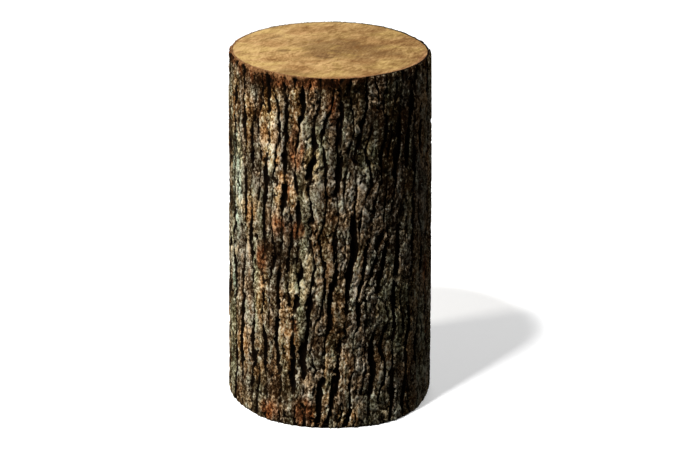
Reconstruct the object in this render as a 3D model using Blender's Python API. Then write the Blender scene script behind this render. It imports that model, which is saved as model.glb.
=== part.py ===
"""A section of tree log with its bark on, standing on one of its two saw cuts.

Metres, +Z up. The origin is the middle of the lower cut, on the ground.

The log grew as one piece, so it is one closed solid: cut wood on the two flat
ends, and ridged bark all round. Each furrow of the bark is a line that runs up
the log, sways between its neighbours and closes up in places, so that ridges
widen, taper and join, and a ridge that grows wide is split along its middle.
The mesh follows those lines: every ridge has one column of points along its
furrow, one along each of its two shoulders and one along its middle.
"""

import math
import random

import bmesh
import bpy

# The log
LOG_HEIGHT = 0.500
TOP_RADIUS = 0.1376  # to the tops of the bark ridges
FOOT_RADIUS = 0.1448
BARK_THICKNESS = 0.0075  # from the wood to the tops of the ridges
LOBES = ((2, 0.0012, 0.11), (3, 0.0010, 0.62), (5, 0.0006, 0.37))  # count, height, turn
BULGES = (  # side, in degrees, and how far it stands out at the foot and at the top
    (-54, 0.0080, 0.0),
    (-19, -0.0060, 0.0),
    (-124, 0.0070, 0.0),
    (35, 0.0, -0.0085),
)
BULGE_NARROWNESS = 16

# The furrows between the ridges
RIDGES = 36
FURROW_DEPTH = 0.0065
FURROW_HALF_WIDTH = 0.0052
SHOULDER_SHARE = 0.32  # of a ridge's width, at most, on each side
BARK_SEED = 27
OFFSET = 0.18  # of the mean distance between furrows, as are the next three
SWAY = 0.17
KINK = 0.06
CLOSEST = 0.34
PUSHES = 3  # rounds of moving furrows apart to that distance
SWAY_LENGTHS = (0.240, 0.520)  # from one crest of a sway to the next, as are all such lengths
KINK_LENGTHS = (0.060, 0.120)
CLOSING_LENGTHS = (0.110, 0.260)
CLOSING_MIDDLE = 0.75  # how far a furrow is open, and how much that swings; 1 is fully open
CLOSING_SWING = 0.60
MOST_CLOSED = 0.30
LEAN = 0.50  # radians that the furrows on the leaning side turn round the log over its height
LEAN_SIDE = math.radians(-66)
LEAN_NARROWNESS = 14

# The ridges
SWELL_LENGTHS = (0.060, 0.150)
SWELL_DEPTH = 0.0010
RIDGE_DROP = 0.0009  # of the lowest ridge under the highest
SPLIT_LENGTHS = (0.080, 0.200)
SPLIT_SWAY = 0.14  # of the ridge's width
SPLIT_DEPTH = 0.0045
SPLIT_FROM = 0.85  # the width, in mean widths, from which a ridge is split
SPLIT_FULL = 1.15  # and the width at which the split has its whole depth

# Breaks across the ridges
STEPS = 36  # equal steps up the log, which the breaks fall on
BREAKS = 4  # on each ridge
BREAK_DEPTH = 0.0018

# The saw cuts
EDGE_HEIGHT = 0.004  # over which the bark is torn back
EDGE_TEAR = 0.0012

BARK_COLOUR = (0.095, 0.068, 0.042, 1.0)
WOOD_COLOUR = (0.480, 0.290, 0.110, 1.0)


def remove_old_objects():
    for old in list(bpy.data.objects):
        bpy.data.objects.remove(old)


def plain_material(name, colour, roughness):
    material = bpy.data.materials.new(name)
    material.use_nodes = True
    shader = material.node_tree.nodes["Principled BSDF"]
    shader.inputs["Base Color"].default_value = colour
    shader.inputs["Roughness"].default_value = roughness
    shader.inputs["Metallic"].default_value = 0.0
    return material


def draw_bark():
    """How each furrow wanders and closes, and how the ridge that starts there swells, splits and breaks."""
    draw = random.Random(BARK_SEED)

    def wave(lengths):
        return draw.uniform(*lengths), draw.random()

    ridges = []
    for _ in range(RIDGES):
        ridges.append(
            {
                "offset": draw.uniform(-OFFSET, OFFSET),
                "sway": wave(SWAY_LENGTHS),
                "kink": wave(KINK_LENGTHS),
                "closing": wave(CLOSING_LENGTHS),
                "swell": wave(SWELL_LENGTHS),
                "split": wave(SPLIT_LENGTHS),
                "drop": draw.uniform(0.0, RIDGE_DROP),
                "breaks": draw.sample(range(2, STEPS - 1), BREAKS),
            }
        )
    return ridges


def wave_at(wave, z):
    length, start = wave
    return math.sin(2 * math.pi * (z / length + start))


def kept_apart(places):
    """The places of the furrows, with those that would meet run side by side instead."""
    for _ in range(PUSHES):
        ends = places[1:] + [places[0] + RIDGES]
        push = [max(0.0, CLOSEST - (end - start)) / 2 for start, end in zip(places, ends)]
        places = [place - push[index] + push[index - 1] for index, place in enumerate(places)]
    return places


def furrow_angles(bark, z):
    """Where the furrows are at height z, as angles round the log, with the first one again at the end."""
    places = []
    for index, furrow in enumerate(bark):
        wander = SWAY * wave_at(furrow["sway"], z) + KINK * wave_at(furrow["kink"], z)
        places.append(index + furrow["offset"] + wander)
    angles = []
    for place in kept_apart(places):
        angle = 2 * math.pi * place / RIDGES
        share = (0.5 + 0.5 * math.cos(angle - LEAN_SIDE)) ** LEAN_NARROWNESS
        angles.append(angle + LEAN * share * (z / LOG_HEIGHT - 0.5))
    return [*angles, angles[0] + 2 * math.pi]


def furrow_depth(furrow, z):
    """A furrow is open for most of its way and nearly closed in between."""
    opening = CLOSING_MIDDLE + CLOSING_SWING * wave_at(furrow["closing"], z)
    return FURROW_DEPTH * min(1.0, max(MOST_CLOSED, opening))


def split_depth(width):
    """How deep the middle of a ridge of that width is split. The width is an angle round the log."""
    share = width * RIDGES / (2 * math.pi)
    opening = (share - SPLIT_FROM) / (SPLIT_FULL - SPLIT_FROM)
    return SPLIT_DEPTH * min(1.0, max(0.0, opening))


def ridge_depth(ridge, z):
    """How far a ridge's top lies under the log's outline."""
    depth = ridge["drop"] + SWELL_DEPTH * (0.5 + 0.5 * wave_at(ridge["swell"], z))
    step = z / LOG_HEIGHT * STEPS
    if any(abs(step - at) < 0.5 for at in ridge["breaks"]):
        depth += BREAK_DEPTH
    return depth


def outline_radius(angle, z):
    """The outline over the ridges: a slight taper, and a trunk that isn't quite round."""
    share = z / LOG_HEIGHT
    radius = FOOT_RADIUS + (TOP_RADIUS - FOOT_RADIUS) * share
    for count, height, turn in LOBES:
        radius += height * math.cos(count * angle + 2 * math.pi * turn)
    for side, at_foot, at_top in BULGES:
        near = (0.5 + 0.5 * math.cos(angle - math.radians(side))) ** BULGE_NARROWNESS
        radius += near * (at_foot * (1 - share) ** 2 + at_top * share**2)
    return radius


def torn_back(z):
    """How far the bark is torn back at the two cuts."""
    return EDGE_TEAR if min(z, LOG_HEIGHT - z) < EDGE_HEIGHT / 2 else 0.0


def bark_ring(bark, z):
    """The bark's outline at height z: a furrow, two shoulders and a middle for each ridge."""
    furrows = furrow_angles(bark, z)
    ring = []
    for ridge, start, end in zip(bark, furrows, furrows[1:]):
        width = end - start
        shoulder = min(FURROW_HALF_WIDTH / outline_radius(start, z), SHOULDER_SHARE * width)
        middle = start + width * (0.5 + SPLIT_SWAY * wave_at(ridge["split"], z))
        top = ridge_depth(ridge, z)
        for angle, depth in (
            (start, max(furrow_depth(ridge, z), top)),
            (start + shoulder, top),
            (middle, top + split_depth(width)),
            (end - shoulder, top),
        ):
            radius = outline_radius(angle, z) - depth - torn_back(z)
            ring.append((radius * math.cos(angle), radius * math.sin(angle), z))
    return ring


def wood_ring(outline):
    """The edge of the wood in a saw cut, with one point inside each point of the bark's outline."""
    ring = []
    for x, y, z in outline:
        angle = math.atan2(y, x)
        radius = outline_radius(angle, z) - BARK_THICKNESS
        ring.append((radius * math.cos(angle), radius * math.sin(angle), z))
    return ring


def ring_heights():
    """Equal steps, with one more ring just inside each cut, where the torn edge ends."""
    inner = [LOG_HEIGHT * step / STEPS for step in range(1, STEPS)]
    return [0.0, EDGE_HEIGHT, *inner, LOG_HEIGHT - EDGE_HEIGHT, LOG_HEIGHT]


def centred(rings):
    """The rings moved sideways so that the log's box has its middle over the origin."""
    across = [x for ring in rings for x, _, _ in ring]
    along = [y for ring in rings for _, y, _ in ring]
    middle_x = (min(across) + max(across)) / 2
    middle_y = (min(along) + max(along)) / 2
    return [[(x - middle_x, y - middle_y, z) for x, y, z in ring] for ring in rings]


def join_rings(mesh, lower, upper, material_index):
    """A band of quads between two rings of points, facing out when upper is the higher one."""
    for here in range(len(lower)):
        after = (here + 1) % len(lower)
        face = mesh.faces.new((lower[here], lower[after], upper[after], upper[here]))
        face.material_index = material_index


def build_log():
    bark = draw_bark()
    outlines = [bark_ring(bark, z) for z in ring_heights()]
    rings = centred([wood_ring(outlines[0]), *outlines, wood_ring(outlines[-1])])

    mesh = bmesh.new()
    points = [[mesh.verts.new(place) for place in ring] for ring in rings]
    bark_index, wood_index = 0, 1
    for lower, upper in zip(points, points[1:]):
        join_rings(mesh, lower, upper, bark_index)
    mesh.faces.new(points[0][::-1]).material_index = wood_index
    mesh.faces.new(points[-1]).material_index = wood_index

    data = bpy.data.meshes.new("log")
    mesh.to_mesh(data)
    mesh.free()
    data.materials.append(plain_material("bark", BARK_COLOUR, 0.95))
    data.materials.append(plain_material("cut_wood", WOOD_COLOUR, 0.75))
    data.shade_smooth()
    data.set_sharp_from_angle(angle=math.radians(40))

    log = bpy.data.objects.new("log", data)
    bpy.context.scene.collection.objects.link(log)
    return log


remove_old_objects()
build_log()
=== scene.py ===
"""The looks of a section of tree log: its ridged bark, its two saw cuts, the floor and the light.

Metres, +Z up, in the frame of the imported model. The bark repeats the furrows, ridges and breaks of
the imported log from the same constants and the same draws, and adds what is finer: ragged furrow
walls, plates that peel at their lower ends, cracks, flakes and fibres.
"""

import math
import random
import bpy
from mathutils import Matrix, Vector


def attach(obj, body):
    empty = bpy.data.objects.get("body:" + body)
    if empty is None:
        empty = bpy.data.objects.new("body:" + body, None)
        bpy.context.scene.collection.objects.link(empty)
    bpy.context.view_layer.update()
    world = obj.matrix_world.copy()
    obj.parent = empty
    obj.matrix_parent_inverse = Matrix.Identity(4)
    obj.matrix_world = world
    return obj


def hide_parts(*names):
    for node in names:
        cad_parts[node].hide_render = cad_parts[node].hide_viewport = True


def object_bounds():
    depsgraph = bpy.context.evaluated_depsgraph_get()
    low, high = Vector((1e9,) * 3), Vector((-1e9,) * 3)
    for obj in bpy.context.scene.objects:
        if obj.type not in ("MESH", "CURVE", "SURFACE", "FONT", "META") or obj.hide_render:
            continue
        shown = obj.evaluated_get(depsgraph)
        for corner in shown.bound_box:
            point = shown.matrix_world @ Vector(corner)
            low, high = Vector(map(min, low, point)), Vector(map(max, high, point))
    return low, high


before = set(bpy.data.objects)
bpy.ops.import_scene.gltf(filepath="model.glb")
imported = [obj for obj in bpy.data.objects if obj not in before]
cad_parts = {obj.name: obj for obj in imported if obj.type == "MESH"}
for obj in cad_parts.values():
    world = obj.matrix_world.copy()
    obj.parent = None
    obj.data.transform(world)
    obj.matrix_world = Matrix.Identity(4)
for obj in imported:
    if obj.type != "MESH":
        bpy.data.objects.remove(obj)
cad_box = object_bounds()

from types import SimpleNamespace

import bpy
import numpy as np
from mathutils import Vector

# The log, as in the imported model
LOG_HEIGHT = cad_box[1][2]
TOP_RADIUS = 0.1376
FOOT_RADIUS = 0.1448
BARK_THICKNESS = 0.0075
LOBES = ((2, 0.0012, 0.11), (3, 0.0010, 0.62), (5, 0.0006, 0.37))  # count, height, turn
BULGES = (  # side, in degrees, and how far it stands out at the foot and at the top
    (-54, 0.0080, 0.0),
    (-19, -0.0060, 0.0),
    (-124, 0.0070, 0.0),
    (35, 0.0, -0.0085),
)
BULGE_NARROWNESS = 16
RIDGES = 36
FURROW_DEPTH = 0.0065
FURROW_HALF_WIDTH = 0.0052
SPLIT_DEPTH = 0.0045
BARK_SEED = 27
OFFSET = 0.18  # of the mean distance between furrows, as are the next three
SWAY = 0.17
KINK = 0.06
CLOSEST = 0.34
PUSHES = 3
SWAY_LENGTHS = (0.240, 0.520)
KINK_LENGTHS = (0.060, 0.120)
CLOSING_LENGTHS = (0.110, 0.260)
CLOSING_MIDDLE = 0.75
CLOSING_SWING = 0.60
MOST_CLOSED = 0.30
SWELL_LENGTHS = (0.060, 0.150)
SPLIT_LENGTHS = (0.080, 0.200)
SPLIT_SWAY = 0.14
SPLIT_FROM = 0.85
SPLIT_FULL = 1.15
RIDGE_DROP = 0.0009
SWELL_DEPTH = 0.0010
LEAN = 0.50
LEAN_SIDE = math.radians(-66)
LEAN_NARROWNESS = 14
STEPS = 36
BREAKS = 4
BREAK_DEPTH = 0.0018
EDGE_HEIGHT = 0.004
EDGE_TEAR = 0.0012

# The finer bark. A noise is its swells round the log, its swells up it and its seed, and a layer is
# its height and then the same.
SPLIT_HALF_WIDTH = 0.0030
RAGGED_WALLS = ((0.0016, 96, 14, 1), (0.0018, 190, 40, 2), (0.0011, 420, 130, 12))
WIDTH_LAYERS = ((0.60, 120, 15, 11), (0.25, 240, 50, 27))
WIDTH_MIDDLE = 0.85  # of a furrow, in usual widths, as are the next four
LEAST_WIDTH = 0.30
MOST_WIDTH = 1.30
OPEN_WIDER = 0.50  # added in the open spots
OPEN_MOST = 0.40  # added there to MOST_WIDTH
CLOSED_WIDTH = 0.55  # of a closed furrow, in widths of an open one
CLOSED_SPLIT_WIDTH = 0.50
WALL = (0.35, 1.0)  # where a furrow's wall starts and ends, in half widths from its middle
SPLIT_WALL = (0.20, 1.0)
BRIDGES = (110, 24, 28)
BRIDGED = (0.45, 0.75)  # the noise at which a bridge over a furrow starts and is whole
BRIDGE_HEIGHT = 0.75  # in furrow depths
SPLIT_FILLED = 0.85  # share of a split's depth that is filled in the whole spots
FISSURE_FILLED = 0.60
RIDGE_EDGE = (0.15, 0.75)  # where a ridge's top ends, in furrow depths
BREAK_LEAN = (0.012, RIDGES, 9, 3)
BREAK_RISE = 0.020  # of a break from the middle of its ridge, for each ridge's width
BREAK_RAGGED = (0.0030, 260, 60, 4)
BREAK_LIP = 0.0012  # how high the edge of a break is
PEEL_LENGTH = 0.016  # how far under a break the bark has peeled off
ROW_BEND = (0.008, 110, 30, 5)
COLUMN_BENDS = ((0.0016, 200, 60, 7), (0.0009, 420, 150, 23))
FISSURES = ((1.0, 5 * RIDGES // 2, 15, 24), (0.45, 7 * RIDGES, 48, 25))
PLATES = (5 * RIDGES // 2, 11, 6)
FLAKES = (5 * RIDGES, 46, 8)
FISSURE_EDGE = (0.02, 0.22)  # where a fissure, a crack or a gap between flakes is open and ends
CRACK_EDGE = (0.02, 0.16)
CHIP_EDGE = (0.04, 0.28)
FISSURE_DEPTH = 0.0020
CRACK_DEPTH = 0.0010
PLATE_DROP = 0.0016  # of the lowest plate under the highest
PLATE_TILT = 0.0004
PLATES_MIDDLE = 0.0013  # the depth that keeps the plates as a whole where they are
CHIP_DEPTH = 0.0008
FLAKE_DROP = 0.0010
FLAKE_TILT = 0.0003
FLAKES_MIDDLE = 0.0007
IN_FURROW = 0.25  # share of that relief that is left at the bottom of a furrow
FIBRES_ROUND = (0.00030, 420, 230, 9)
FIBRES_ALONG = (0.00015, 26 * RIDGES, 200, 10)
SCAR_RAGGED = (0.006, 60, 10, 18)
SCAR_ROUGHER = 0.6
SCAR_DEPTH = 0.0012
LEAST_BARK = 0.0008  # over the wood, at the bottom of a furrow
LEAST_AT_CUT = 0.0006
CUT_DEPTH = 0.45  # of the deepest furrow in a cut, in bark thicknesses
RIM_WIDTH = 0.0052  # of bark seen in a cut
RIM_OVERLAP = 0.0004  # of the bark's rim over the wood
INSIDE_GAP = 0.002  # from the bark's thickness to its hidden inside

# How the bark's colours are spread
# The gap values below darken the furrows, fissures, cracks, chips and scars by their depth, most in the open
# spots: partly the bark's own darker inner layers, partly painted shade in the recesses.
OPEN_DARKER = 1.2
FISSURE_GAP = 0.26  # how dark a fissure is, where a furrow is 1
CRACK_GAP = 0.13
CHIP_GAP = 0.06
SCAR_GAP = 0.08
PLATE_TONE = 0.35
FLAKE_TONE = 0.45
RIDGE_TONES = (0.25, RIDGES, 7, 19)
BROKEN = (0.5, 170, 40, 17)
OLIVE_RIDGES = (RIDGES, 5, 22)
OLIVE_FROM = (-0.25, 0.55)
OLIVE_MOST = 0.6
TAN_RIDGES = (RIDGES, 6, 21)
TAN_FROM = (0.10, 0.65)
TAN_MOST = 0.5
TAN_BY_PLATE = 0.3
WARM_BROKEN = (0.7, 1.2)  # a spot's strength where it is broken up, and how much more it may be
WARM_FLAKED = (0.4, 0.9)
RUST_BROKEN = (0.3, 1.5)
LICHEN_BROKEN = (0.45, 1.2)
NEAR_CUT = (0.003, 0.014)  # from the upper cut down
NEAR_CUT_RAGGED = (0.005, 120, 60, 26)
TORN = (0.0010, 0.0055)
TORN_RAGGED = (0.003, 110, 60, 29)
TORN_ELSEWHERE = 0.15
# SHADED_FROM: how far round the log the painted shade on the bark's rim in the cuts reaches
SHADED_FROM = (-0.2, 0.5)
BACK_FROM = (0.3, 0.8)

# The meshes
BARK_COLUMNS = 1400
BARK_ROWS = 560
RIM_ROWS = 7
INNER_ROWS = 24
BARK_TRIANGLES = 196000
WOOD_COLUMNS = 360
WOOD_ROWS = 90
WOOD_CROWDING = 0.75  # under 1, the rings of points are closer together near the bark
WOOD_ROUGH = 0.0003
SHARP_ANGLE = math.radians(40)
CORE_INSET = 0.006  # how far the wood between the cuts is set back, where the bark hides it
LAYOUT = "OFBake"
LAYOUT_ROWS = (0.0, 0.015, 0.955, 0.970, 0.995)  # starts of the foot's rim, bark, top's rim and inside
LAYOUT_FILL = 0.98
TOP_LAYOUT = (0.36, 0.64, 2.40)  # middle and scale, as in the next one
FOOT_LAYOUT = (0.84, 0.16, 1.05)
CORE_LAYOUT = (0.02, 0.53, 0.02, 0.18)  # start and length, across and then up
CORE_SPREAD = 1.12  # how far outside the cut the core's edge is laid

# The wood's brown and pale places and the marks of the saw
BROWN_RAGGED = ((0.45, 9, 8, 31), (0.35, 24, 22, 32))
BROWN_EDGE = (0.35, 1.25)
PALE_FROM = (0.11, -0.11)
PALE_RAGGED = (0.02, 12, 10, 33)
EDGE_STAIN = 0.011  # how far in from the bark the wood is stained brown
STAIN_RAGGED = (0.0020, 80, 10, 34)
STAIN_AT_BACK = 0.25
STAIN_FROM = (0.3, -0.3)
SAW_SLANT = 0.08
SAW_BOW = 0.9
SAW_WAVES = (2300, 910)  # radians for each metre
SAW_WOBBLE = 3
SAW_WOBBLE_WAVES = 40

# Light and camera
CAMERA_PLACE = (0.0100, -3.137, 1.448)
CAMERA_PITCH = 20.975  # degrees below level
CAMERA_LENS = 128.80
SENSOR_WIDTH = 36.0
LIGHTS = (  # azimuth and elevation in degrees, distance, size, power, colour
    ("key", -36, 63.5, 3.0, 0.24, 117.0, (1.0, 1.0, 1.0)),
    ("side", -70, 16, 3.0, 0.4, 109.0, (1.0, 0.96, 0.90)),
    ("back", 170, 35, 3.0, 1.5, 35.0, (1.0, 1.0, 1.0)),
    ("right", 80, 20, 3.0, 1.5, 7.0, (1.0, 0.95, 0.90)),
)
FILL_STRENGTH = 0.05
FILL_COLOUR = (0.85, 0.93, 1.0, 1.0)
FLOOR_SIZE = 60.0
FLOOR_DROP = -0.0002
FLOOR_COLOUR = (0.8, 0.8, 0.8, 1.0)
FLOOR_GLOW = 0.40

# Colours, from dark to light
GREY_BARK = (
    (0.38, (0.013, 0.0055, 0.0012)),
    (0.46, (0.062, 0.039, 0.0200)),
    (0.53, (0.205, 0.158, 0.105)),
    (0.60, (0.460, 0.395, 0.295)),
    (0.67, (0.590, 0.530, 0.430)),
)
OLIVE_BARK = (
    (0.38, (0.012, 0.0075, 0.0015)),
    (0.46, (0.066, 0.050, 0.022)),
    (0.53, (0.218, 0.188, 0.106)),
    (0.60, (0.480, 0.440, 0.285)),
    (0.67, (0.590, 0.560, 0.420)),
)
TAN_BARK = (
    (0.38, (0.020, 0.0070, 0.0010)),
    (0.46, (0.110, 0.050, 0.015)),
    (0.53, (0.320, 0.185, 0.075)),
    (0.60, (0.590, 0.440, 0.260)),
    (0.67, (0.710, 0.620, 0.465)),
)
RUST_BARK = (
    (0.38, (0.016, 0.0050, 0.0012)),
    (0.46, (0.080, 0.028, 0.010)),
    (0.53, (0.200, 0.078, 0.030)),
    (0.60, (0.330, 0.155, 0.066)),
    (0.67, (0.470, 0.280, 0.140)),
)
LICHEN = (
    (0.38, (0.015, 0.014, 0.008)),
    (0.46, (0.085, 0.088, 0.058)),
    (0.53, (0.250, 0.268, 0.192)),
    (0.60, (0.500, 0.530, 0.410)),
    (0.67, (0.720, 0.750, 0.640)),
)
# Furrow walls and bottoms: partly the bark's own dark colour, partly painted shade in the recesses. The
# darker one is also the painted shade on the bark's rim in the cuts.
WALL_COLOUR = (0.0080, 0.0040, 0.0014)
FURROW_AND_SHADE_COLOUR = (0.0028, 0.0014, 0.0006)
INNER_BARK = ((0.35, (0.085, 0.034, 0.012)), (0.50, (0.190, 0.090, 0.035)), (0.65, (0.320, 0.175, 0.080)))
BACK_RIM = (0.200, 0.155, 0.110)
CUT_WOOD = (
    (0.30, (0.118, 0.056, 0.015)),
    (0.42, (0.186, 0.101, 0.032)),
    (0.50, (0.252, 0.148, 0.052)),
    (0.58, (0.320, 0.196, 0.075)),
    (0.70, (0.430, 0.272, 0.118)),
)
DARK_PATCHES = ((0.35, (0.55, 0.55, 0.55)), (0.60, (1.0, 1.0, 1.0)))
BARK_HUES = ((0.38, (1.08, 0.92, 0.74)), (0.50, (1.0, 1.0, 1.0)), (0.62, (0.92, 1.0, 0.94)))
WOOD_HUES = ((0.38, (1.0, 0.94, 0.94)), (0.50, (1.0, 1.0, 1.0)), (0.62, (0.96, 1.0, 0.88)))
VEIN_COLOUR = (0.105, 0.052, 0.016)
PITH = (-0.004, 0.020, 0.0)
RING_SCALE = 70.0
BROWN_WOOD = ((0.35, (0.052, 0.023, 0.007)), (0.50, (0.112, 0.056, 0.018)), (0.65, (0.210, 0.118, 0.045)))
# Places with a colour of their own: azimuth in degrees, height, half width in degrees, half height
WARM_SPOTS = (
    (-38, 0.448, 9, 0.055), (-20, 0.460, 7, 0.040), (-53, 0.296, 6, 0.035), (-42, 0.185, 5, 0.055),
    (-37, 0.388, 8, 0.030), (-29, 0.340, 6, 0.030), (-24, 0.125, 7, 0.040), (-55, 0.420, 6, 0.050),
    (-59, 0.087, 7, 0.040), (-23, 0.330, 5, 0.025), (-8, 0.020, 6, 0.016), (8, 0.016, 8, 0.014),
    (-70, 0.440, 6, 0.050), (140, 0.360, 9, 0.080), (-150, 0.150, 8, 0.070), (-105, 0.420, 7, 0.060),
)
RUST_SPOTS = (
    (-20, 0.400, 5, 0.034), (-31, 0.287, 6, 0.015), (-19, 0.286, 6, 0.015), (-43, 0.235, 4, 0.024),
    (-35, 0.016, 7, 0.018), (-15, 0.024, 7, 0.024), (1, 0.458, 4, 0.022), (-45, 0.490, 26, 0.012),
    (-10, 0.492, 20, 0.008), (66, 0.200, 4, 0.030), (120, 0.200, 8, 0.030), (-165, 0.440, 9, 0.040),
)
PALE_SPOTS = (
    (-50, 0.458, 4, 0.018), (-31, 0.440, 4, 0.035), (-37, 0.388, 6, 0.020), (-67, 0.317, 6, 0.075),
    (-19, 0.200, 5, 0.045), (22, 0.410, 5, 0.010), (20, 0.372, 6, 0.016), (170, 0.300, 10, 0.070),
    (-5, 0.395, 5, 0.045), (-52, 0.280, 5, 0.060), (-53, 0.110, 7, 0.060), (-46, 0.125, 6, 0.045),
    (-79, 0.205, 7, 0.025), (-80, 0.108, 7, 0.030),
)
OLIVE_SPOTS = (
    (-8, 0.400, 8, 0.050), (-19, 0.200, 8, 0.060), (-55, 0.290, 5, 0.040), (21, 0.390, 8, 0.035),
    (-75, 0.100, 12, 0.080), (40, 0.150, 14, 0.070), (-140, 0.250, 16, 0.100),
)
LICHEN_SPOTS = (
    (-68, 0.330, 9, 0.100), (-70, 0.195, 5, 0.050), (150, 0.250, 14, 0.090), (-130, 0.300, 12, 0.080),
)
DARK_SPOTS = (
    (37, 0.395, 20, 0.110), (12, 0.478, 14, 0.022), (-30, 0.252, 14, 0.014), (-45, 0.480, 26, 0.014),
    (-150, 0.420, 30, 0.060), (-27, 0.052, 12, 0.022), (-81, 0.395, 8, 0.035), (-82, 0.300, 8, 0.030),
    (-80, 0.150, 9, 0.022), (-76, 0.378, 12, 0.022), (-78, 0.287, 9, 0.018), (-50, 0.430, 7, 0.014),
)
TORN_SPOTS = ((-42, 0.500, 34, 0.040), (140, 0.500, 40, 0.040))
OPEN_SPOTS = ((-78, 0.250, 24, 0.500), (-160, 0.250, 30, 0.300))  # where the furrows are widest
WHOLE_SPOTS = ((-72, 0.250, 26, 0.420),)  # where wide ridges are hardly split
SCARS = ((-20, 0.262, 26, 0.011), (160, 0.340, 20, 0.009))
SHADED_SIDE = math.radians(10)  # the side where shade is painted on the bark's rim in the cuts
BROWN_PLACES = (  # x, y, half length, half width, turn in degrees, strength
    (0.008, 0.004, 0.062, 0.080, 0, 0.70), (-0.009, -0.031, 0.012, 0.012, 0, 1.0),
    (-0.002, -0.038, 0.018, 0.008, 10, 0.9), (0.011, -0.010, 0.014, 0.009, -50, 0.9),
    (-0.012, 0.012, 0.030, 0.008, 46, 0.8), (0.036, 0.028, 0.012, 0.020, 0, 0.8),
    (0.045, -0.034, 0.020, 0.009, -35, 0.6), (0.088, -0.020, 0.012, 0.008, 0, 0.5),
    (-0.060, -0.005, 0.014, 0.008, 15, 0.7), (-0.075, 0.058, 0.018, 0.006, 40, 0.55),
    (0.000, 0.036, 0.022, 0.006, 20, 0.5), (0.020, -0.024, 0.016, 0.008, -20, 0.7),
)


def smooth_step(low, high, value):
    share = np.clip((value - low) / (high - low), 0.0, 1.0)
    return share * share * (3.0 - 2.0 * share)


def noise(turn, height, columns, rows, seed):
    """Smooth noise from -1 to 1, with that many swells round the log and up it, closed round the log."""
    values = np.random.default_rng(seed).uniform(-1.0, 1.0, (rows + 3, columns))
    x = turn * columns
    y = height / LOG_HEIGHT * rows + 1.0
    column = np.floor(x).astype(int)
    row = np.clip(np.floor(y).astype(int), 0, rows + 1)
    across = smooth_step(0.0, 1.0, x - column)
    up = smooth_step(0.0, 1.0, y - row)
    here = column % columns
    after = (column + 1) % columns
    lower = values[row, here] * (1 - across) + values[row, after] * across
    upper = values[row + 1, here] * (1 - across) + values[row + 1, after] * across
    return lower * (1 - up) + upper * up


def layers(turn, height, *rows, start=0.0):
    """The sum of layers of noise."""
    total = start
    for thickness, columns, swells, seed in rows:
        total = total + thickness * noise(turn, height, columns, swells, seed)
    return total


def cells(turn, height, columns, rows, seed):
    """Cracked plates: for each point, how far the nearest crack is, the number of the plate, and how far
    under the plate's middle it lies, with lengths in plates."""
    draw = np.random.default_rng(seed)
    shift = draw.random((2, rows + 4, columns))
    own = draw.random((rows + 4, columns))
    x = turn * columns
    y = height / LOG_HEIGHT * rows + 2.0
    column = np.floor(x).astype(int)
    row = np.floor(y).astype(int)
    nearest = np.full(x.shape, 9.0)
    second = nearest.copy()
    number = np.zeros(x.shape)
    under = np.zeros(x.shape)
    for right in (-1, 0, 1):
        for above in (-1, 0, 1):
            at_column = (column + right) % columns
            at_row = np.clip(row + above, 0, rows + 3)
            rise = row + above + shift[1][at_row, at_column] - y
            away = np.hypot(column + right + shift[0][at_row, at_column] - x, rise)
            closer = away < nearest
            second = np.where(closer, nearest, np.minimum(second, away))
            number = np.where(closer, own[at_row, at_column], number)
            under = np.where(closer, rise, under)
            nearest = np.where(closer, away, nearest)
    return second - nearest, number, under


def draw_bark():
    """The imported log's own draws, as arrays with one value for each ridge."""
    draw = random.Random(BARK_SEED)

    def wave(lengths):
        return draw.uniform(*lengths), draw.random()

    rows = []
    for _ in range(RIDGES):
        offset = draw.uniform(-OFFSET, OFFSET)
        waves = [
            wave(lengths)
            for lengths in (SWAY_LENGTHS, KINK_LENGTHS, CLOSING_LENGTHS, SWELL_LENGTHS, SPLIT_LENGTHS)
        ]
        drop = draw.uniform(0.0, RIDGE_DROP)
        breaks = draw.sample(range(2, STEPS - 1), BREAKS)
        rows.append((offset, *waves, drop, breaks))
    offset, sway, kink, closing, swell, split, drop, breaks = zip(*rows)
    return {
        "offset": np.array(offset),
        "sway": np.array(sway),
        "kink": np.array(kink),
        "closing": np.array(closing),
        "swell": np.array(swell),
        "split": np.array(split),
        "drop": np.array(drop),
        "breaks": np.array(breaks) * LOG_HEIGHT / STEPS,
    }


def wave_at(waves, z):
    return np.sin(2 * np.pi * (z / waves[..., 0] + waves[..., 1]))


def kept_apart(places):
    """Furrows that would meet run side by side instead."""
    for _ in range(PUSHES):
        gap = np.roll(places, -1) - places
        gap[-1] += RIDGES
        push = np.maximum(0.0, CLOSEST - gap) / 2
        places = places - push + np.roll(push, 1)
    return places


def furrow_angles(bark, z):
    """The angle of every furrow at height z, and the first one again a full turn on."""
    places = np.arange(RIDGES) + bark["offset"]
    places = places + SWAY * wave_at(bark["sway"], z) + KINK * wave_at(bark["kink"], z)
    angles = 2 * np.pi * kept_apart(places) / RIDGES
    share = (0.5 + 0.5 * np.cos(angles - LEAN_SIDE)) ** LEAN_NARROWNESS
    angles = angles + LEAN * share * (z / LOG_HEIGHT - 0.5)
    return np.append(angles, angles[0] + 2 * np.pi)


def place_among_furrows(bark, angle, heights):
    """For each point, the ridge that it is on and how far across that ridge it is, from 0 to 1."""
    ridge = np.zeros(angle.shape, int)
    across = np.zeros(angle.shape)
    width = np.zeros(angle.shape)
    for row, z in enumerate(heights):
        furrows = furrow_angles(bark, z)
        at = furrows[0] + np.mod(angle[row] - furrows[0], 2 * np.pi)
        index = np.clip(np.searchsorted(furrows, at, side="right") - 1, 0, RIDGES - 1)
        gap = furrows[index + 1] - furrows[index]
        ridge[row] = index
        across[row] = (at - furrows[index]) / gap
        width[row] = gap
    return ridge, across, width


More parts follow.
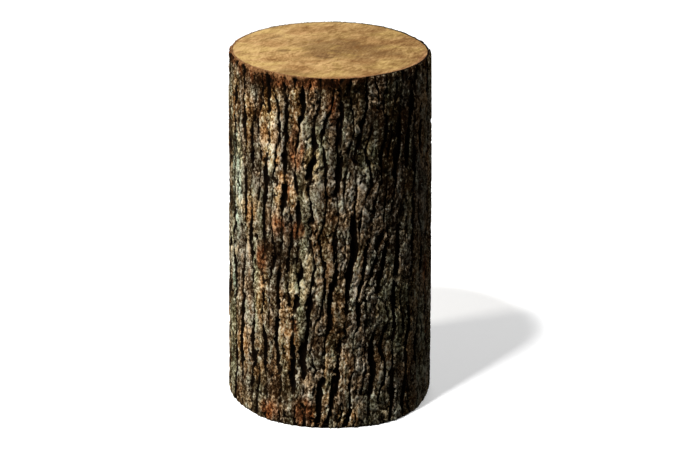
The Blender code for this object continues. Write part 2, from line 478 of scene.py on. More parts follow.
def outline_radius(angle, z):
    """The outline over the ridges: a slight taper, and a trunk that isn't quite round."""
    radius = FOOT_RADIUS + (TOP_RADIUS - FOOT_RADIUS) * z / LOG_HEIGHT
    for count, height, turn in LOBES:
        radius = radius + height * np.cos(count * angle + 2 * np.pi * turn)
    share = z / LOG_HEIGHT
    for side, at_foot, at_top in BULGES:
        near = (0.5 + 0.5 * np.cos(angle - math.radians(side))) ** BULGE_NARROWNESS
        radius = radius + near * (at_foot * (1 - share) ** 2 + at_top * share**2)
    return radius


def furrow_profile(bark, ridge, z, distance, half_width):
    """How deep the bark is at that distance from a furrow's middle."""
    opening = CLOSING_MIDDLE + CLOSING_SWING * wave_at(bark["closing"][ridge % RIDGES], z)
    opening = np.clip(opening, MOST_CLOSED, 1.0)
    half = half_width * (CLOSED_WIDTH + (1 - CLOSED_WIDTH) * opening)
    return FURROW_DEPTH * opening * (1.0 - smooth_step(*WALL, distance / half))


def spots(angle, z, places):
    """From 0 to 1: soft spots, each an azimuth in degrees, a height, and half its width and height."""
    total = np.zeros(angle.shape)
    for azimuth, height, half_width, half_height in places:
        away = np.mod(angle - math.radians(azimuth - 90) + np.pi, 2 * np.pi) - np.pi
        far = np.hypot(away / math.radians(half_width), (z - height) / half_height)
        total = np.maximum(total, 1 - smooth_step(0.4, 1.2, far))
    return total


def split_profile(bark, at, half_width):
    """A wide ridge is split by a smaller furrow along its middle."""
    share = at.width * RIDGES / (2 * np.pi)
    opening = np.clip((share - SPLIT_FROM) / (SPLIT_FULL - SPLIT_FROM), 0.0, 1.0)
    middle = 0.5 + SPLIT_SWAY * wave_at(bark["split"][at.ridge], at.z)
    distance = np.abs(at.across - middle) * at.width * at.radius
    half = half_width * (CLOSED_SPLIT_WIDTH + (1 - CLOSED_SPLIT_WIDTH) * opening)
    return SPLIT_DEPTH * opening * (1 - smooth_step(*SPLIT_WALL, distance / half))


def places_on_bark(bark, angle, z):
    """Where each point lies among the ridges and furrows, and in which spots."""
    turn = np.mod(angle / (2 * np.pi), 1.0)
    ragged = layers(turn, z, *RAGGED_WALLS)
    ridge, across, width = place_among_furrows(bark, angle + ragged / TOP_RADIUS, z[:, 0])
    return SimpleNamespace(
        angle=angle,
        z=z,
        turn=turn,
        ridge=ridge,
        across=across,
        width=width,
        along=(ridge + across) / RIDGES,
        radius=outline_radius(angle, z),
        open_side=spots(angle, z, OPEN_SPOTS),
        whole=spots(angle, z, WHOLE_SPOTS),
    )


def furrow_depth(bark, at):
    """How deep the furrows between the ridges and the splits along them are."""
    vary = layers(at.turn, at.z, *WIDTH_LAYERS, start=WIDTH_MIDDLE) + OPEN_WIDER * at.open_side
    vary = np.clip(vary, LEAST_WIDTH, MOST_WIDTH + OPEN_MOST * at.open_side)
    left = at.across * at.width * at.radius
    right = (1 - at.across) * at.width * at.radius
    furrow = np.maximum(
        furrow_profile(bark, at.ridge, at.z, left, FURROW_HALF_WIDTH * vary),
        furrow_profile(bark, at.ridge + 1, at.z, right, FURROW_HALF_WIDTH * vary),
    )
    split = split_profile(bark, at, SPLIT_HALF_WIDTH * vary) * (1 - SPLIT_FILLED * at.whole)
    bridge = smooth_step(*BRIDGED, noise(at.turn, at.z, *BRIDGES))
    return np.maximum(furrow, split) * (1 - BRIDGE_HEIGHT * bridge * (1 - at.open_side))


def peeled_depth(bark, at):
    """How far the bark has peeled off under the breaks across the ridges."""
    peel = np.zeros(at.angle.shape)
    lean = layers(at.along, at.z, BREAK_LEAN)
    for number in range(BREAKS):
        line = bark["breaks"][at.ridge, number] + lean * (at.across - 0.5)
        line = line + BREAK_RISE * np.abs(at.across - 0.5) + layers(at.turn, at.z, BREAK_RAGGED)
        below = line - at.z
        ledge = smooth_step(-BREAK_LIP, 0.0, below) * (1 - smooth_step(0.0, PEEL_LENGTH, below))
        peel = np.maximum(peel, BREAK_DEPTH * ledge)
    return peel


def fine_pattern(at):
    """Where the fissures, the cracks between plates and the gaps between flakes are open, from 0 to 1,
    the numbers of the plates and flakes, how far under their middles a point lies, and the scars."""
    bent = layers(at.turn, at.z, ROW_BEND, start=at.z)
    shifted = layers(at.turn, at.z, *COLUMN_BENDS, start=at.along)
    fissure = np.abs(layers(shifted, at.z, *FISSURES))
    crack, plate, plate_under = cells(shifted, bent, *PLATES)
    chip, flake, flake_under = cells(shifted, bent, *FLAKES)
    return SimpleNamespace(
        fissure=(1 - smooth_step(*FISSURE_EDGE, fissure)) * (1 - FISSURE_FILLED * at.whole),
        crack=1 - smooth_step(*CRACK_EDGE, crack),
        plate=plate,
        plate_under=plate_under,
        chip=1 - smooth_step(*CHIP_EDGE, chip),
        flake=flake,
        flake_under=flake_under,
        scar=spots(at.angle, layers(at.turn, at.z, SCAR_RAGGED, start=at.z), SCARS),
    )


def crumbly_depth(furrow, fine):
    """How deep the fine pattern is, which is shallow in the furrows and rough in the scars."""
    plates = FISSURE_DEPTH * fine.fissure + CRACK_DEPTH * fine.crack
    plates = plates + PLATE_DROP * fine.plate + PLATE_TILT * fine.plate_under - PLATES_MIDDLE
    flaked = CHIP_DEPTH * fine.chip + FLAKE_DROP * fine.flake
    flaked = flaked + FLAKE_TILT * fine.flake_under - FLAKES_MIDDLE
    on_ridge = 1.0 - smooth_step(*RIDGE_EDGE, furrow / FURROW_DEPTH)
    share = IN_FURROW + (1 - IN_FURROW) * on_ridge
    return share * (plates + flaked) * (1 + SCAR_ROUGHER * fine.scar)


def rising(least, more, share):
    """From least, where share is 0, to that and more, where it is 1."""
    return least + more * share


def bark_fields(at, furrow, fine):
    """What the bark's colour depends on, for each point."""
    own = at.ridge / RIDGES
    to_cut = LOG_HEIGHT - at.z
    broken = layers(at.turn, at.z, BROKEN, start=0.5)
    # Darker the deeper a furrow, fissure, crack or chip is, and more in the open spots: partly the bark's
    # own colour, partly painted shade.
    gap = (1 + OPEN_DARKER * at.open_side) * furrow / FURROW_DEPTH
    gap = gap + FISSURE_GAP * fine.fissure + CRACK_GAP * fine.crack
    gap = gap + CHIP_GAP * fine.chip + SCAR_GAP * fine.scar
    tone = 0.5 + PLATE_TONE * (0.5 - fine.plate) + FLAKE_TONE * (0.5 - fine.flake)
    olive = OLIVE_MOST * smooth_step(*OLIVE_FROM, noise(own, at.z, *OLIVE_RIDGES))
    tan = noise(own, at.z, *TAN_RIDGES) + TAN_BY_PLATE * (fine.plate - 0.5)
    tan = TAN_MOST * smooth_step(*TAN_FROM, tan)
    warm = spots(at.angle, at.z, WARM_SPOTS) * rising(*WARM_BROKEN, broken)
    warm = warm * rising(*WARM_FLAKED, fine.flake)
    rust = spots(at.angle, at.z, RUST_SPOTS) * rising(*RUST_BROKEN, broken)
    lichen = spots(at.angle, at.z, LICHEN_SPOTS) * rising(*LICHEN_BROKEN, broken)
    torn = 1 - smooth_step(*TORN, layers(at.turn, at.z, TORN_RAGGED, start=to_cut))
    return {
        "gap": np.clip(gap, 0.0, 1.0),
        "tone": layers(own, at.z, RIDGE_TONES, start=tone),
        "olive": np.maximum(olive, spots(at.angle, at.z, OLIVE_SPOTS)),
        "tan": np.maximum(tan, np.clip(warm, 0.0, 1.0)),
        "pale": spots(at.angle, at.z, PALE_SPOTS),
        "dark": spots(at.angle, at.z, DARK_SPOTS),
        "rust": np.clip(rust, 0.0, 1.0),
        "near_cut": 1 - smooth_step(*NEAR_CUT, layers(at.turn, at.z, NEAR_CUT_RAGGED, start=to_cut)),
        "torn": torn * np.maximum(TORN_ELSEWHERE, spots(at.angle, at.z, TORN_SPOTS)),
        "lichen": np.clip(lichen, 0.0, 1.0),
    }


def bark_depth(bark, angle, z):
    """How far the bark lies under the log's outline, and what its colour depends on."""
    at = places_on_bark(bark, angle, z)
    fine = fine_pattern(at)
    furrow = furrow_depth(bark, at)
    swell = wave_at(bark["swell"][at.ridge], z)
    top = bark["drop"][at.ridge] + SWELL_DEPTH * (0.5 + 0.5 * swell)
    fibres = layers(at.turn, z, FIBRES_ROUND) + layers(at.along, z, FIBRES_ALONG)
    depth = top + furrow + peeled_depth(bark, at) + crumbly_depth(furrow, fine)
    depth = depth + fibres + SCAR_DEPTH * fine.scar
    return np.clip(depth, 0.0, BARK_THICKNESS - LEAST_BARK), bark_fields(at, furrow, fine)


def round_grid(name, points, fields):
    """A mesh from rows of points, closed both ways, with a value of each field at each point."""
    rows, columns, _ = points.shape
    index = np.arange(rows * columns).reshape(rows, columns)
    after = np.roll(index, -1, axis=1)
    quads = np.stack([index, after, np.roll(after, -1, axis=0), np.roll(index, -1, axis=0)], axis=-1)
    mesh = bpy.data.meshes.new(name)
    mesh.vertices.add(points.shape[0] * points.shape[1])
    mesh.vertices.foreach_set("co", points.astype(np.float32).ravel())
    mesh.loops.add(quads.size)
    mesh.loops.foreach_set("vertex_index", quads.ravel())
    mesh.polygons.add(quads.size // 4)
    mesh.polygons.foreach_set("loop_start", np.arange(0, quads.size, 4))
    mesh.update(calc_edges=True)
    for field, values in fields.items():
        attribute = mesh.attributes.new(field, "FLOAT", "POINT")
        attribute.data.foreach_set("value", values.astype(np.float32).ravel())
    return mesh


def build_bark(bark):
    """The bark as one closed surface: the foot's rim, the outside, the top's rim and the hidden inside."""
    angle, z = np.meshgrid(
        np.arange(BARK_COLUMNS) * 2 * np.pi / BARK_COLUMNS,
        np.linspace(0.0, LOG_HEIGHT, BARK_ROWS),
    )
    depth, fields = bark_depth(bark, angle, z)
    edge = smooth_step(0.0, EDGE_HEIGHT, np.minimum(z, LOG_HEIGHT - z))
    depth = depth + EDGE_TEAR * (1 - edge)
    depth = np.minimum(depth, (BARK_THICKNESS - LEAST_AT_CUT) * (CUT_DEPTH + (1 - CUT_DEPTH) * edge))
    outer = outline_radius(angle, z) - depth

    share = np.linspace(0.0, 1.0, RIM_ROWS + 1)[1:, None]
    inner_top = outline_radius(angle[-1], LOG_HEIGHT) - RIM_WIDTH - RIM_OVERLAP
    inner_foot = outline_radius(angle[0], 0.0) - RIM_WIDTH - RIM_OVERLAP
    top_rim = outer[-1] + (inner_top - outer[-1]) * share
    foot_rim = outer[0] + (inner_foot - outer[0]) * share[::-1]

    inner_z = np.linspace(LOG_HEIGHT, 0.0, INNER_ROWS + 2)[1:-1, None] * np.ones_like(top_rim[:1])
    inner = outline_radius(angle[:1], inner_z) - BARK_THICKNESS - INSIDE_GAP

    radius = np.vstack([foot_rim, outer, top_rim, inner])
    z_all = np.vstack([np.zeros_like(foot_rim), z, np.full_like(top_rim, LOG_HEIGHT), inner_z])
    counts = (RIM_ROWS, BARK_ROWS, RIM_ROWS, INNER_ROWS)
    rows = [
        np.linspace(start, end, count, endpoint=False)
        for start, end, count in zip(LAYOUT_ROWS, LAYOUT_ROWS[1:], counts)
    ]
    fields = {
        key: np.vstack(
            [values[:1].repeat(RIM_ROWS, 0), values, values[-1:].repeat(RIM_ROWS, 0), np.zeros_like(inner)]
        )
        for key, values in fields.items()
    }
    ones = np.ones_like(top_rim)
    fields["rim"] = np.vstack([share[::-1] * ones, np.zeros_like(z), share * ones, np.ones_like(inner)])
    angle_all = angle[:1].repeat(len(radius), 0)
    # How far a point lies on the side away from the lights, for the painted shade on the bark's rim in the
    # cuts
    fields["shaded"] = smooth_step(*SHADED_FROM, np.cos(angle_all - SHADED_SIDE))
    fields["back"] = smooth_step(*BACK_FROM, np.sin(angle_all))
    fields["layout_row"] = np.concatenate(rows)[:, None] * np.ones_like(radius)
    points = np.stack([radius * np.cos(angle_all), radius * np.sin(angle_all), z_all], axis=-1)
    low, high = points.reshape(-1, 3).min(0), points.reshape(-1, 3).max(0)
    middle = (low + high) / 2 * np.array([1, 1, 0])
    mesh = round_grid("log_bark", points - middle, fields)
    piece = bpy.data.objects.new("log_bark", mesh)
    bpy.context.scene.collection.objects.link(piece)
    return piece, middle


def corners(mesh):
    """For each corner of each face, its vertex's place, as an array, and its vertex."""
    vertex = np.empty(len(mesh.loops), int)
    mesh.loops.foreach_get("vertex_index", vertex)
    places = np.empty(3 * len(mesh.vertices))
    mesh.vertices.foreach_get("co", places)
    return places.reshape(-1, 3)[vertex], vertex


def add_layout(mesh, across, up):
    """Lays the mesh out flat, from a place across and a place up for each corner of each face."""
    layout = mesh.uv_layers.new(name=LAYOUT)
    layout.data.foreach_set("uv", np.stack([across, up], axis=-1).astype(np.float32).ravel())


def lay_out_bark(mesh):
    """The bark unrolled: once round the log from left to right, and its rows from the foot up."""
    places, vertex = corners(mesh)
    row = np.empty(len(mesh.vertices))
    mesh.attributes["layout_row"].data.foreach_get("value", row)
    turn = np.mod(np.arctan2(places[:, 1], places[:, 0]) / (2 * np.pi), 1.0)
    laid = []
    for values in (turn, row[vertex]):
        triangles = values.reshape(-1, 3)
        over_seam = triangles.max(axis=1, keepdims=True) - triangles > 0.5
        laid.append(LAYOUT_FILL * (triangles + over_seam).ravel())
    add_layout(mesh, *laid)


def lay_out_wood(mesh):
    """The upper cut large, the lower cut small, and the hidden core as a strip under the upper cut."""
    places, _ = corners(mesh)
    x, y, z = places.T
    starts = np.empty(len(mesh.polygons), int)
    totals = np.empty(len(mesh.polygons), int)
    mesh.polygons.foreach_get("loop_start", starts)
    mesh.polygons.foreach_get("loop_total", totals)
    lowest = np.minimum.reduceat(z, starts).repeat(totals)
    highest = np.maximum.reduceat(z, starts).repeat(totals)
    on_core = np.minimum(z, LOG_HEIGHT - z) > CORE_INSET / 2
    spread = np.where(on_core, CORE_SPREAD, 1.0)
    left, width, bottom, height = CORE_LAYOUT
    across = left + width * np.mod(np.arctan2(y, x) / (2 * np.pi), 1.0)
    up = bottom + height * z / LOG_HEIGHT
    for there, (middle_x, middle_y, scale) in (
        (lowest > LOG_HEIGHT / 2, TOP_LAYOUT),
        (highest < LOG_HEIGHT / 2, FOOT_LAYOUT),
    ):
        across = np.where(there, middle_x + x * spread * scale, across)
        up = np.where(there, middle_y + y * spread * scale, up)
    add_layout(mesh, across, up)


def thin_out(piece, triangles):
    """Leaves most triangles where the surface bends most."""
    decimate = piece.modifiers.new("thin_out", "DECIMATE")
    decimate.ratio = min(1.0, triangles / (2 * len(piece.data.polygons)))
    decimate.use_collapse_triangulate = True
    evaluated = piece.evaluated_get(bpy.context.evaluated_depsgraph_get())
    mesh = bpy.data.meshes.new_from_object(evaluated)
    piece.modifiers.clear()
    piece.data = mesh
    mesh.shade_smooth()


def build_wood(middle):
    """The wood of both cuts, with the log's core between them."""
    turns = np.arange(WOOD_COLUMNS) * 2 * np.pi / WOOD_COLUMNS
    shares = np.linspace(0.0, 1.0, WOOD_ROWS + 1)[1:, None] ** WOOD_CROWDING
    faces = []
    for z, order in ((0.0, 1), (LOG_HEIGHT, -1)):
        radius = shares * (outline_radius(turns, z) - RIM_WIDTH)
        x = radius * np.cos(turns)
        y = radius * np.sin(turns)
        rough = WOOD_ROUGH * saw_marks(x, y)
        height = rough if z == 0.0 else LOG_HEIGHT - rough
        faces.append(np.stack([x, y, height], axis=-1)[::order])
    for z in (CORE_INSET, LOG_HEIGHT - CORE_INSET):
        radius = outline_radius(turns, z) - BARK_THICKNESS - CORE_INSET
        ring = np.stack([radius * np.cos(turns), radius * np.sin(turns), np.full_like(radius, z)], axis=-1)
        faces.insert(-1, ring[None])
    points = np.vstack(faces) - middle
    rows = len(points)
    index = np.arange(rows * WOOD_COLUMNS).reshape(rows, WOOD_COLUMNS)
    after = np.roll(index, -1, axis=1)
    quads = np.stack([index[:-1], after[:-1], after[1:], index[1:]], axis=-1).reshape(-1, 4)
    foot_centre, top_centre = rows * WOOD_COLUMNS, rows * WOOD_COLUMNS + 1
    mesh = bpy.data.meshes.new("log_wood")
    places = np.vstack([points.reshape(-1, 3), [-middle, np.array([0, 0, LOG_HEIGHT]) - middle]])
    mesh.from_pydata(
        places.tolist(),
        [],
        quads.tolist()
        + [(foot_centre, b, a) for a, b in zip(index[0], after[0])]
        + [(top_centre, a, b) for a, b in zip(index[-1], after[-1])],
    )
    for field, values in wood_fields(places[:, 0], places[:, 1]).items():
        mesh.attributes.new(field, "FLOAT", "POINT").data.foreach_set("value", values.astype(np.float32))
    mesh.shade_smooth()
    mesh.set_sharp_from_angle(angle=SHARP_ANGLE)
    piece = bpy.data.objects.new("log_wood", mesh)
    bpy.context.scene.collection.objects.link(piece)
    return piece


def wood_fields(x, y):
    """Where the wood is brown around its pith, where it is pale, and how near the bark it is."""
    angle = np.arctan2(y, x)
    turn = np.mod(angle / (2 * np.pi), 1.0)
    far = np.hypot(x, y)
    bend = layers(turn, far, *BROWN_RAGGED, start=1.0)
    brown = np.zeros(x.shape)
    for place_x, place_y, half_length, half_width, slant, strength in BROWN_PLACES:
        slant = math.radians(slant)
        along = (x - place_x) * math.cos(slant) + (y - place_y) * math.sin(slant)
        aside = (y - place_y) * math.cos(slant) - (x - place_x) * math.sin(slant)
        away = np.hypot(along / half_length, aside / half_width) * bend
        brown = np.maximum(brown, strength * (1 - smooth_step(*BROWN_EDGE, away)))
    pale = smooth_step(*PALE_FROM, layers(turn, far, PALE_RAGGED, start=x))
    to_bark = outline_radius(angle, LOG_HEIGHT) - RIM_WIDTH - far
    edge = 1 - smooth_step(0.0, EDGE_STAIN, layers(turn, far, STAIN_RAGGED, start=to_bark))
    edge = edge * (STAIN_AT_BACK + (1 - STAIN_AT_BACK) * smooth_step(*STAIN_FROM, np.sin(angle)))
    return {"brown": brown, "pale": pale, "edge": edge}


def saw_marks(x, y):
    """From 0 to 1: fine scratches of the saw across the cut."""
    across = y + SAW_SLANT * x + SAW_BOW * x * x
    fast, slow = SAW_WAVES
    wobble = SAW_WOBBLE * np.sin(x * SAW_WOBBLE_WAVES)
    return 0.5 + 0.25 * np.sin(across * fast) + 0.25 * np.sin(across * slow + wobble)


def node(material, kind, links=None, **values):
    """A shader node with its settings, its fixed inputs and its links from other nodes' outputs."""
    tree = material.node_tree
    made = tree.nodes.new(kind)
    for key, value in values.items():
        if key.startswith("in_"):
            name = key[3:]
            made.inputs[int(name) if name.isdigit() else name.replace("_", " ")].default_value = value
        else:
            setattr(made, key, value)
    for key, source in (links or {}).items():
        tree.links.new(source, made.inputs[key])
    return made


def new_material(name, roughness):
    material = bpy.data.materials.new(name)
    material.use_nodes = True
    shader = material.node_tree.nodes["Principled BSDF"]
    shader.inputs["Roughness"].default_value = roughness
    shader.inputs["Metallic"].default_value = 0.0
    return material, shader


def grain(material, scale, stretch, detail=3.0, rough=0.6, lift=0.0, turn=0.0, bend=0.0):
    """Noise in the log's own space: scale swells per metre, drawn out by stretch, along the log or,
    with turn in degrees, across its cuts."""
    place = node(material, "ShaderNodeTexCoord").outputs["Object"]
    mapped = node(material, "ShaderNodeMapping", {"Vector": place}, in_Location=(lift, lift, lift))
    if turn:
        mapped.vector_type = "TEXTURE"
        mapped.inputs["Rotation"].default_value = (0.0, 0.0, math.radians(turn))
        mapped.inputs["Scale"].default_value = (stretch, 1.0, 1.0)
    else:
        mapped.inputs["Scale"].default_value = (1.0, 1.0, 1.0 / stretch)
    noise_node = node(
        material,
        "ShaderNodeTexNoise",
        {"Vector": mapped.outputs[0]},
        in_Scale=scale,
        in_Detail=detail,
        in_Roughness=rough,
        in_Distortion=bend,
    )
    return noise_node.outputs["Fac"]


def ramp(material, source, stops):
    """A colour for each value, from stops that are a position and a colour."""
    made = node(material, "ShaderNodeValToRGB", {"Fac": source})
    elements = made.color_ramp.elements
    while len(elements) < len(stops):
        elements.new(0.5)
    for element, (position, colour) in zip(elements, stops):
        element.position = position
        element.color = (*colour, 1.0)
    return made.outputs["Color"]


def mask(material, source, low, high):
    """0 up to low, 1 from high on."""
    made = node(material, "ShaderNodeMapRange", {"Value": source}, interpolation_type="SMOOTHSTEP")
    made.inputs["From Min"].default_value = low
    made.inputs["From Max"].default_value = high
    return made.outputs["Result"]


def mix(material, share, under, over, way="MIX"):
    """That share of one colour over another. Each may be a socket or a plain value."""
    made = node(material, "ShaderNodeMix", data_type="RGBA", blend_type=way)
    for socket, value in ((0, share), (6, under), (7, over)):
        if isinstance(value, (int, float, tuple)):
            made.inputs[socket].default_value = value if socket == 0 else (*value, 1.0)
        else:
            material.node_tree.links.new(value, made.inputs[socket])
    return made.outputs[2]


def math_node(material, operation, first, second):
    made = node(material, "ShaderNodeMath", operation=operation)
    for socket, value in ((0, first), (1, second)):
        if isinstance(value, (int, float)):
            made.inputs[socket].default_value = value
        else:
            material.node_tree.links.new(value, made.inputs[socket])
    return made.outputs[0]


def weigh(material, *pairs):
    """The sum of values, each times its weight, with a plain number as a pair of its own."""
    total = 0.0
    for value, weight in pairs:
        if isinstance(value, (int, float)):
            part = value * weight
        else:
            part = math_node(material, "MULTIPLY", value, weight)
        total = math_node(material, "ADD", total, part)
    return total


def attribute(material, name):
    return node(material, "ShaderNodeAttribute", attribute_name=name).outputs["Fac"]


def flakes(material, scale, stretch, bend):
    """Small scales of bark: a number for each one, and how near its edge is."""
    place = node(material, "ShaderNodeTexCoord").outputs["Object"]
    along = (1.0, 1.0, 1.0 / stretch)
    mapped = node(material, "ShaderNodeMapping", {"Vector": place}, in_Scale=along).outputs[0]
    wobble = node(material, "ShaderNodeTexNoise", {"Vector": mapped}, in_Scale=scale * 0.9, in_Detail=2.0)
    mixed = node(material, "ShaderNodeMix", {4: mapped, 5: wobble.outputs["Color"]}, data_type="VECTOR")
    mixed.inputs[0].default_value = bend / scale
    bent = {"Vector": mixed.outputs[1]}
    number = node(material, "ShaderNodeTexVoronoi", bent, in_Scale=scale)
    edge = node(material, "ShaderNodeTexVoronoi", bent, in_Scale=scale, feature="DISTANCE_TO_EDGE")
    split = node(material, "ShaderNodeSeparateColor", {"Color": number.outputs["Color"]})
    return split.outputs[0], edge.outputs["Distance"]


def bark_material():
    """Grey ridges with olive, tan, rusty and lichen places, furrows dark partly by painted shade, torn bark
    at the cuts, painted shade on the cuts' rim on the shaded side.
    """
    material, shader = new_material("bark", 0.9)
    links = material.node_tree.links
    speckle = grain(material, scale=300.0, stretch=1.4, rough=0.68)
    streak = grain(material, scale=120.0, stretch=3.6, lift=1.3)
    ragged = grain(material, scale=280.0, stretch=1.6, rough=0.65, lift=3.1)
    patch = grain(material, scale=26.0, stretch=2.2, detail=2.0, rough=0.5, lift=4.7)
    rust_place = grain(material, scale=42.0, stretch=3.0, lift=15.3)
    hue_place = grain(material, scale=70.0, stretch=2.0, detail=2.0, rough=0.5, lift=21.3)
    scale_number, scale_edge = flakes(material, scale=230.0, stretch=1.5, bend=1.5)

    # Darker at the flakes' edges: partly their own colour, partly painted shade in the cracks between them.
    edge = mask(material, scale_edge, 0.0, 0.12)
    shade = weigh(
        material,
        (speckle, 0.75),
        (streak, 0.32),
        (scale_number, 0.10),
        (edge, 0.05),
        (attribute(material, "tone"), 0.14),
        (attribute(material, "dark"), -0.085),
        (attribute(material, "pale"), 0.06),
        (attribute(material, "near_cut"), -0.09),
        (1.0, -0.188),
    )
    # The shaded side, away from the lights: the rust under the upper cut is kept off it, and shade is
    # painted on the bark's rim in the cuts there.
    shaded = attribute(material, "shaded")
    lit = math_node(material, "SUBTRACT", 1.0, shaded)
    rusty_rim = math_node(material, "MULTIPLY", lit, attribute(material, "near_cut"))
    rusty = mask(material, rust_place, 0.66, 0.74)
    rusty = math_node(material, "MAXIMUM", rusty, attribute(material, "rust"))
    rusty = math_node(material, "MAXIMUM", rusty, rusty_rim)
    colour = ramp(material, shade, GREY_BARK)
    for share, colours in (
        (attribute(material, "olive"), OLIVE_BARK),
        (attribute(material, "tan"), TAN_BARK),
        (rusty, RUST_BARK),
        (attribute(material, "lichen"), LICHEN),
    ):
        colour = mix(material, share, colour, ramp(material, shade, colours))
    colour = mix(material, 1.0, colour, ramp(material, patch, DARK_PATCHES), "MULTIPLY")
    colour = mix(material, 1.0, colour, ramp(material, hue_place, BARK_HUES), "MULTIPLY")
    # Near-black furrow walls and bottoms: partly the bark's own dark inner layers, partly painted shade in
    # the recesses.
    torn_gap = weigh(material, (attribute(material, "gap"), 1.0), (ragged, 0.9), (1.0, -0.45))
    colour = mix(material, mask(material, torn_gap, 0.18, 0.34), colour, WALL_COLOUR)
    colour = mix(material, mask(material, torn_gap, 0.32, 0.60), colour, FURROW_AND_SHADE_COLOUR)
    torn = weigh(material, (attribute(material, "torn"), 1.0), (streak, 0.8), (1.0, -0.40))
    torn = math_node(material, "MULTIPLY", mask(material, torn, 0.25, 0.70), 0.70)
    colour = mix(material, torn, colour, ramp(material, speckle, INNER_BARK))
    rim = attribute(material, "rim")
    in_cut = mask(material, rim, 0.02, 0.10)
    cut_bark = mix(material, attribute(material, "back"), ramp(material, speckle, INNER_BARK), BACK_RIM)
    colour = mix(material, in_cut, colour, cut_bark)
    # Painted shade: on the shaded side the bark's rim in the cuts turns near-black.
    painted_shade_rim = weigh(material, (shaded, 1.0), (rim, -0.6), (ragged, 0.6), (1.0, -0.30))
    painted_shade_rim = math_node(material, "MULTIPLY", in_cut, mask(material, painted_shade_rim, 0.10, 0.50))
    colour = mix(material, painted_shade_rim, colour, FURROW_AND_SHADE_COLOUR)
    links.new(colour, shader.inputs["Base Color"])
    shader.inputs["Specular IOR Level"].default_value = 0.02

    bump = node(material, "ShaderNodeBump", {"Height": shade}, in_Strength=1.0, in_Distance=0.0045)
    links.new(bump.outputs[0], shader.inputs["Normal"])
    return material


def wood_material():
    """Pale sawn wood with brown smudges round the pith, thin dark veins and a stained edge."""
    material, shader = new_material("cut_wood", 0.8)
    links = material.node_tree.links
    brown = attribute(material, "brown")
    blot = grain(material, scale=26.0, stretch=1.6, lift=2.0, turn=12.0, bend=0.6)
    mottle = grain(material, scale=85.0, stretch=2.0, detail=4.0, rough=0.70, lift=4.0, turn=78.0, bend=0.9)
    fine = grain(material, scale=250.0, stretch=5.0, rough=0.70, lift=5.0, turn=74.0, bend=0.3)
    scratch = grain(material, scale=110.0, stretch=6.0, rough=0.65, lift=7.0, turn=46.0, bend=0.5)
    streak = grain(material, scale=80.0, stretch=3.2, detail=4.0, rough=0.68, lift=9.0, turn=-18.0, bend=0.9)
    wander = grain(material, scale=30.0, stretch=3.4, detail=4.0, rough=0.62, lift=12.0, turn=38.0, bend=0.8)
    place = node(material, "ShaderNodeTexCoord")
    on_cut = node(material, "ShaderNodeMapping", {"Vector": place.outputs["Object"]}, in_Location=PITH)
    rings = node(
        material,
        "ShaderNodeTexWave",
        {"Vector": on_cut.outputs[0]},
        wave_type="RINGS",
        rings_direction="Z",
        in_Scale=RING_SCALE,
        in_Distortion=5.0,
        in_Detail=3.0,
        in_Detail_Scale=0.25,
    )
    shade = weigh(
        material,
        (rings.outputs["Fac"], 0.035),
        (blot, 0.50),
        (mottle, 0.62),
        (fine, 0.34),
        (scratch, 0.40),
        (streak, 0.34),
        (attribute(material, "pale"), 0.11),
        (brown, -0.07),
        (1.0, -0.642),
    )
    brown_shade = weigh(material, (fine, 0.30), (mottle, 0.40), (streak, 0.30))
    colour = ramp(material, shade, CUT_WOOD)
    colour = mix(material, 1.0, colour, ramp(material, blot, WOOD_HUES), "MULTIPLY")
    smudge = weigh(material, (brown, 1.0), (mottle, 3.2), (streak, 3.2), (1.0, -3.02))
    smudge = math_node(material, "MULTIPLY", mask(material, smudge, 0.42, 0.78), brown)
    colour = mix(material, smudge, colour, ramp(material, brown_shade, BROWN_WOOD))
    vein = math_node(material, "ABSOLUTE", weigh(material, (wander, 1.0), (1.0, -0.5)), 0.0)
    vein = math_node(material, "SUBTRACT", 1.0, mask(material, vein, 0.0, 0.016))
    vein = math_node(material, "MULTIPLY", vein, mask(material, streak, 0.44, 0.62))
    vein_strength = weigh(material, (brown, 0.30), (1.0, 0.42))
    vein = math_node(material, "MULTIPLY", vein, vein_strength)
    colour = mix(material, vein, colour, VEIN_COLOUR)
    edge = weigh(material, (attribute(material, "edge"), 1.0), (mottle, 0.8), (1.0, -0.40))
    colour = mix(material, mask(material, edge, 0.20, 1.20), colour, ramp(material, fine, INNER_BARK))
    links.new(colour, shader.inputs["Base Color"])
    shader.inputs["Specular IOR Level"].default_value = 0.03
    rough = weigh(material, (fine, 0.4), (mottle, 0.4), (scratch, 0.2))
    bump = node(material, "ShaderNodeBump", {"Height": rough}, in_Strength=0.5, in_Distance=0.0013)
    links.new(bump.outputs[0], shader.inputs["Normal"])
    return material


def add_floor():
    mesh = bpy.data.meshes.new("floor")
    half = FLOOR_SIZE / 2
    floor_corners = [(-half, -half, 0), (half, -half, 0), (half, half, 0), (-half, half, 0)]
    mesh.from_pydata(floor_corners, [], [(0, 1, 2, 3)])
    floor = bpy.data.objects.new("floor", mesh)
    bpy.context.scene.collection.objects.link(floor)
    floor.location.z = FLOOR_DROP
    floor.visible_diffuse = False
    material, shader = new_material("floor", 1.0)
    shader.inputs["Base Color"].default_value = FLOOR_COLOUR
    shader.inputs["Specular IOR Level"].default_value = 0.0
    shader.inputs["Emission Color"].default_value = (1.0, 1.0, 1.0, 1.0)
    shader.inputs["Emission Strength"].default_value = FLOOR_GLOW
    mesh.materials.append(material)


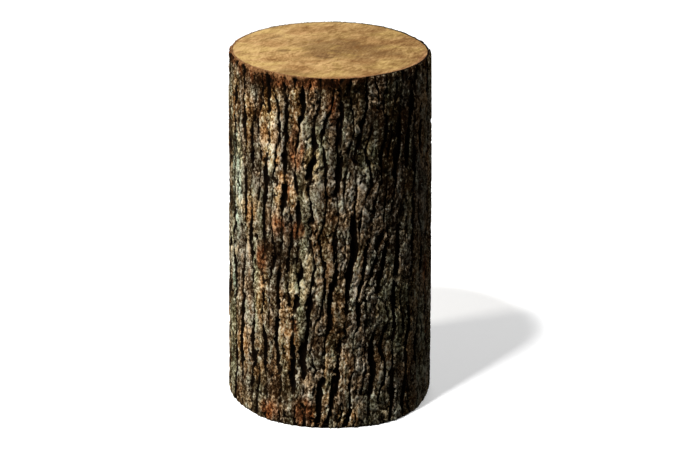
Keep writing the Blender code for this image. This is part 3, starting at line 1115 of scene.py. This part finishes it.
def add_world():
    world = bpy.data.worlds.new("studio")
    bpy.context.scene.world = world
    world.use_nodes = True
    nodes, links = world.node_tree.nodes, world.node_tree.links
    nodes.clear()
    path = nodes.new("ShaderNodeLightPath")
    seen = nodes.new("ShaderNodeBackground")
    seen.inputs["Strength"].default_value = 1.0
    seen.inputs["Color"].default_value = (1.0, 1.0, 1.0, 1.0)
    fill = nodes.new("ShaderNodeBackground")
    fill.inputs["Strength"].default_value = FILL_STRENGTH
    fill.inputs["Color"].default_value = FILL_COLOUR
    chosen = nodes.new("ShaderNodeMixShader")
    output = nodes.new("ShaderNodeOutputWorld")
    links.new(path.outputs["Is Camera Ray"], chosen.inputs[0])
    links.new(fill.outputs[0], chosen.inputs[1])
    links.new(seen.outputs[0], chosen.inputs[2])
    links.new(chosen.outputs[0], output.inputs["Surface"])


def add_light(name, azimuth, elevation, distance, size, power, colour):
    """A soft square light that faces the log. Azimuth 0 is the camera's side, and 90 the right."""
    a, e = math.radians(azimuth), math.radians(elevation)
    back = Vector((math.sin(a) * math.cos(e), -math.cos(a) * math.cos(e), math.sin(e)))
    data = bpy.data.lights.new(name, "AREA")
    data.size = size
    data.energy = power
    data.color = colour
    light = bpy.data.objects.new(name, data)
    light.location = Vector((0, 0, LOG_HEIGHT / 2)) + back * distance
    light.rotation_mode = "QUATERNION"
    light.rotation_quaternion = (-back).to_track_quat("-Z", "Y")
    bpy.context.scene.collection.objects.link(light)


def add_camera():
    data = bpy.data.cameras.new("camera")
    data.lens = CAMERA_LENS
    data.sensor_width = SENSOR_WIDTH
    data.dof.use_dof = False
    camera = bpy.data.objects.new("camera", data)
    camera.location = CAMERA_PLACE
    camera.rotation_euler = (math.radians(90 - CAMERA_PITCH), 0, 0)
    bpy.context.scene.collection.objects.link(camera)
    bpy.context.scene.camera = camera


bark = draw_bark()
log_bark, middle = build_bark(bark)
thin_out(log_bark, BARK_TRIANGLES)
lay_out_bark(log_bark.data)
log_bark.data.materials.append(bark_material())
log_wood = build_wood(middle)
lay_out_wood(log_wood.data)
log_wood.data.materials.append(wood_material())

add_floor()
add_world()
for light in LIGHTS:
    add_light(*light)
add_camera()
bpy.context.scene.view_settings.view_transform = "Standard"

for piece, slot in ((log_bark, "bark"), (log_wood, "cut_wood")):
    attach(piece, "root")
    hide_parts("log")
